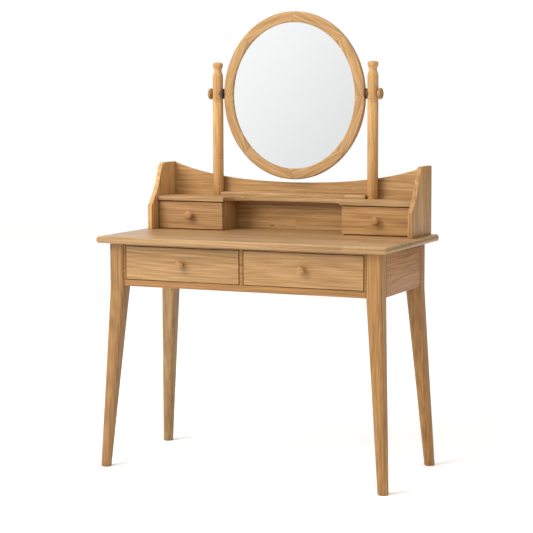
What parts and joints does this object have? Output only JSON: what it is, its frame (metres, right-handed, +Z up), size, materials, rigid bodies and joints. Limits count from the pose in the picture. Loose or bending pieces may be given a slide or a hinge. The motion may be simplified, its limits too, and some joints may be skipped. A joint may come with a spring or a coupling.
{
  "type": "vanity table with mirror",
  "caption": "Wooden vanity table on splayed tapered legs, with drawers under the top, a low hutch with small drawers, and an oval mirror tilting between turned posts.",
  "frame": {"origin": "on the floor, under the middle of the tabletop", "axes": "+Z up, the front with its drawers faces -Y, +X is to the right of a person who faces the front"},
  "size_m": [1, 0.49, 1.4785],
  "materials": {
    "oak": "satin lacquered light oak",
    "pale_wood": "plain planed softwood",
    "dark_wood": "stained wood or fibreboard",
    "steel": "zinc plated",
    "brass": "plain",
    "black_rubber": "matt",
    "silvered_glass": "polished, silvered at the back"
  },
  "bodies": {
    "table": {"tabletop": "oak", "leg_front_left": "oak", "leg_front_right": "oak", "leg_back_left": "oak", "leg_back_right": "oak", "front_rail": "oak", "centre_divider": "oak", "side_apron_left": "oak", "side_apron_right": "oak", "back_apron": "oak", "side_runner_left": "oak", "side_runner_right": "oak", "centre_runner": "pale_wood", "top_brackets": "steel", "bracket_screws": "steel", "hutch_side_left": "oak", "hutch_side_right": "oak", "hutch_back": "oak", "hutch_shelf": "oak", "hutch_ledge": "oak", "small_divider_left": "oak", "small_divider_right": "oak", "mirror_post_left": "oak", "mirror_post_right": "oak", "post_screws": "steel", "pivot_washers": "black_rubber", "pivot_saddles": "dark_wood"},
    "mirror": {"mirror_frame": "oak", "mirror_glass": "silvered_glass", "mirror_backing": "dark_wood", "backing_screws": "steel", "pivot_inserts": "brass"},
    "clamp_left": {"clamp_knob_left": "oak", "clamp_bolt_left": "steel"},
    "clamp_right": {"clamp_knob_right": "oak", "clamp_bolt_right": "steel"},
    "drawer_main_left": {"main_left_front": "oak", "main_left_sides": "pale_wood", "main_left_back": "pale_wood", "main_left_bottom": "pale_wood", "main_left_knob": "oak", "main_left_screw": "steel"},
    "drawer_main_right": {"main_right_front": "oak", "main_right_sides": "pale_wood", "main_right_back": "pale_wood", "main_right_bottom": "pale_wood", "main_right_knob": "oak", "main_right_screw": "steel"},
    "drawer_small_left": {"small_left_front": "oak", "small_left_sides": "pale_wood", "small_left_back": "pale_wood", "small_left_bottom": "pale_wood", "small_left_knob": "oak", "small_left_screw": "steel"},
    "drawer_small_right": {"small_right_front": "oak", "small_right_sides": "pale_wood", "small_right_back": "pale_wood", "small_right_bottom": "pale_wood", "small_right_knob": "oak", "small_right_screw": "steel"}
  },
  "joints": [
    {"name": "main_left_drawer_slide", "type": "slide", "parent": "table", "child": "drawer_main_left", "axis": [0, -1, 0], "range_m": [0, 0.25]},
    {"name": "main_right_drawer_slide", "type": "slide", "parent": "table", "child": "drawer_main_right", "axis": [0, -1, 0], "range_m": [0, 0.25]},
    {"name": "small_left_drawer_slide", "type": "slide", "parent": "table", "child": "drawer_small_left", "axis": [0, -1, 0], "range_m": [0, 0.09]},
    {"name": "small_right_drawer_slide", "type": "slide", "parent": "table", "child": "drawer_small_right", "axis": [0, -1, 0], "range_m": [0, 0.09]},
    {"name": "mirror_tilt", "type": "hinge", "parent": "table", "child": "mirror", "pos_m": [0, 0.212, 1.208], "axis": [1, 0, 0], "range_deg": [-90, 90]},
    {"name": "clamp_left_turn", "type": "hinge", "parent": "table", "child": "clamp_left", "pos_m": [-0.3, 0.212, 1.208], "axis": [-1, 0, 0], "range_deg": [0, 270]},
    {"name": "clamp_right_turn", "type": "hinge", "parent": "table", "child": "clamp_right", "pos_m": [0.3, 0.212, 1.208], "axis": [1, 0, 0], "range_deg": [0, 270]}
  ]
}
